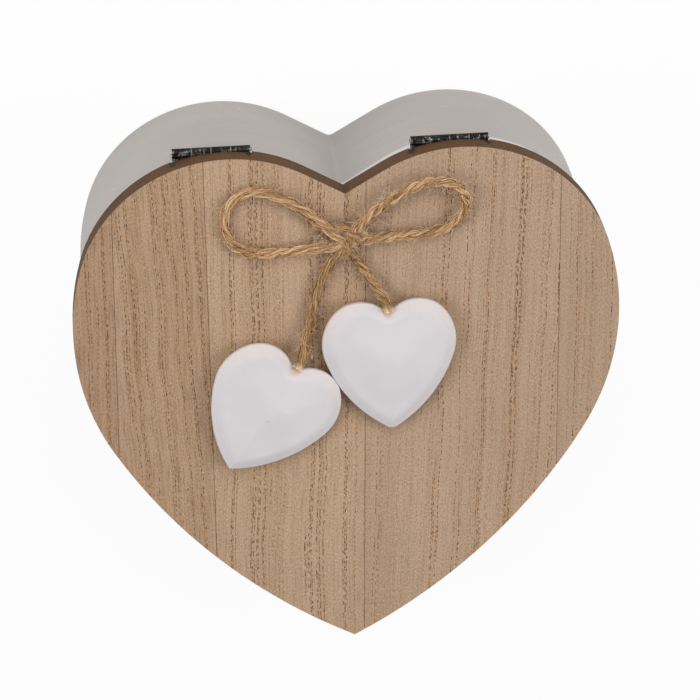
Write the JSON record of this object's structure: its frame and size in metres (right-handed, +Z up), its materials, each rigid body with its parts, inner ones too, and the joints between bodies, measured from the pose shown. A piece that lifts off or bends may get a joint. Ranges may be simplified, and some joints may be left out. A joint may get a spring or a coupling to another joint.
{
  "type": "heart-shaped box",
  "caption": "Heart-shaped wooden keepsake box with a white wall and a hinged veneered lid, dressed with a twine bow and hanging wooden hearts.",
  "frame": {"origin": "on the floor under the middle of the closed box, hinges included", "axes": "+Z up through the lid, +Y towards the lobes and the hinges, -Y towards the heart's tip, +X to the right of the lid as read"},
  "size_m": [0.18, 0.18, 0.0706],
  "materials": {
    "white_paint": "matt white paint on bent wood",
    "fibreboard": "raw sawn fibreboard edge",
    "veneer": "raw straight-grained veneer",
    "hinge_metal": "blackened steel, worn at the edges",
    "jute": "twisted jute twine, fuzzy",
    "heart_paint": "matt white paint on wood"
  },
  "bodies": {
    "box": {"wall_left": "white_paint", "wall_right": "white_paint", "base_panel": "white_paint", "hinge_left_wall_leaf": "hinge_metal", "hinge_right_wall_leaf": "hinge_metal", "hinge_left_pin": "hinge_metal", "hinge_right_pin": "hinge_metal", "wall_hinge_screws": "hinge_metal"},
    "lid": {"lid_core": "fibreboard", "veneer_stave_1": "veneer", "veneer_stave_2": "veneer", "veneer_stave_3": "veneer", "veneer_stave_4": "veneer", "veneer_stave_5": "veneer", "hinge_left_lid_leaf": "hinge_metal", "hinge_right_lid_leaf": "hinge_metal", "lid_hinge_screws": "hinge_metal", "twine_knot": "jute", "twine_loop_left": "jute", "twine_loop_right": "jute"},
    "charm_left": {"twine_tail_left": "jute", "heart_left": "heart_paint"},
    "charm_right": {"twine_tail_right": "jute", "heart_right": "heart_paint"}
  },
  "joints": [
    {"name": "lid_hinge", "type": "hinge", "parent": "box", "child": "lid", "pos_m": [0, 0.08866, 0.05285], "axis": [-1, 0, 0], "range_deg": [0, 180]},
    {"name": "charm_left_swing", "type": "hinge", "parent": "lid", "child": "charm_left", "pos_m": [-0.00536, 0.05321, 0.0613], "axis": [0, 0, -1], "range_deg": [0, 40]},
    {"name": "charm_right_swing", "type": "hinge", "parent": "lid", "child": "charm_right", "pos_m": [0.00355, 0.05156, 0.0613], "axis": [0, 0, 1], "range_deg": [0, 30]}
  ]
}
